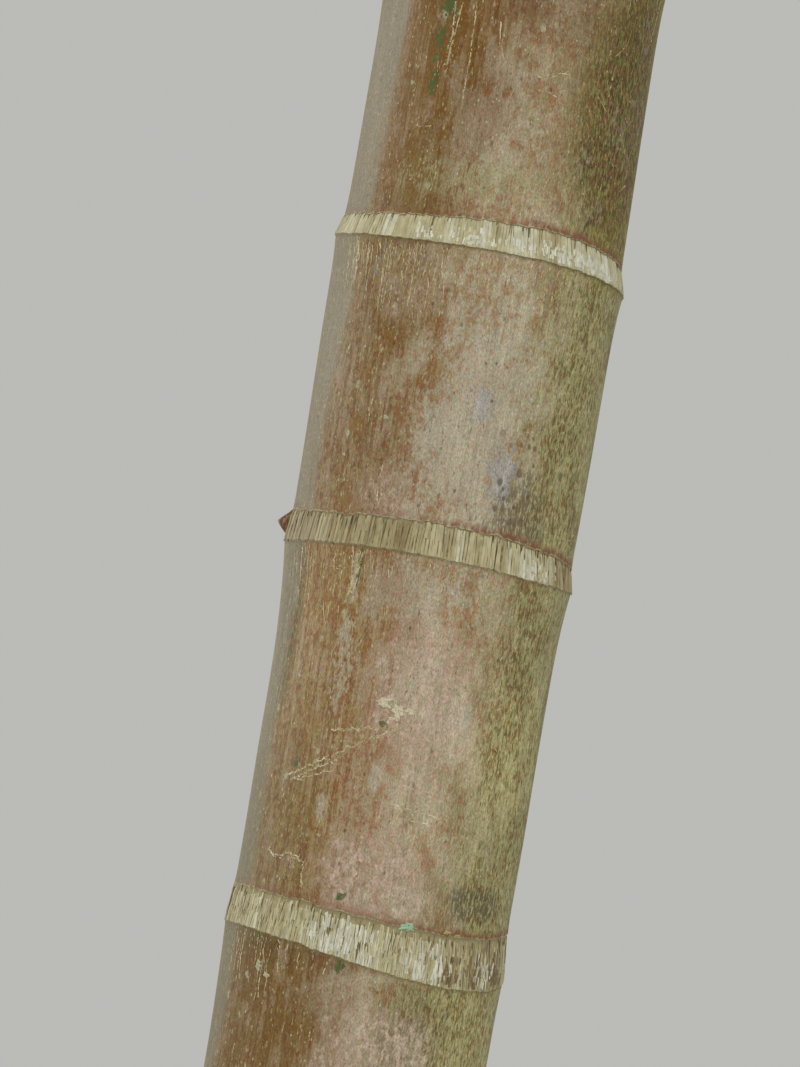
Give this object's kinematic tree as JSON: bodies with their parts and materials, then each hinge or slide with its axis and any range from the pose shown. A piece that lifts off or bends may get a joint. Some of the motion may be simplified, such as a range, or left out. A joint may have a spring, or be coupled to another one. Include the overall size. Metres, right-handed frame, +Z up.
{
  "type": "betel nut palm",
  "caption": "Slender palm with a leaning, ringed trunk, a smooth green crownshaft and an arching crown of feather fronds, rooted in level ground.",
  "frame": {"origin": "middle of the flat cut under the trunk, at ground level", "axes": "+Z up; the trunk leans towards +X; the picture looks along +Y"},
  "size_m": [3.9453, 3.8693, 7.9946],
  "materials": {
    "bark": "matte, fibrous",
    "sheath": "satin, waxy",
    "spear_leaf": "satin",
    "frond_leaf": "satin"
  },
  "bodies": {
    "root": {"trunk": "bark", "crownshaft": "sheath", "spear": "spear_leaf", "frond_01_inner": "frond_leaf", "frond_01_outer": "frond_leaf", "frond_02_inner": "frond_leaf", "frond_02_outer": "frond_leaf", "frond_03_inner": "frond_leaf", "frond_03_outer": "frond_leaf", "frond_04_inner": "frond_leaf", "frond_04_outer": "frond_leaf", "frond_05_inner": "frond_leaf", "frond_05_outer": "frond_leaf", "frond_06_inner": "frond_leaf", "frond_06_outer": "frond_leaf", "frond_07": "frond_leaf", "frond_08": "frond_leaf", "frond_09": "frond_leaf", "frond_10": "frond_leaf"}
  },
  "joints": []
}
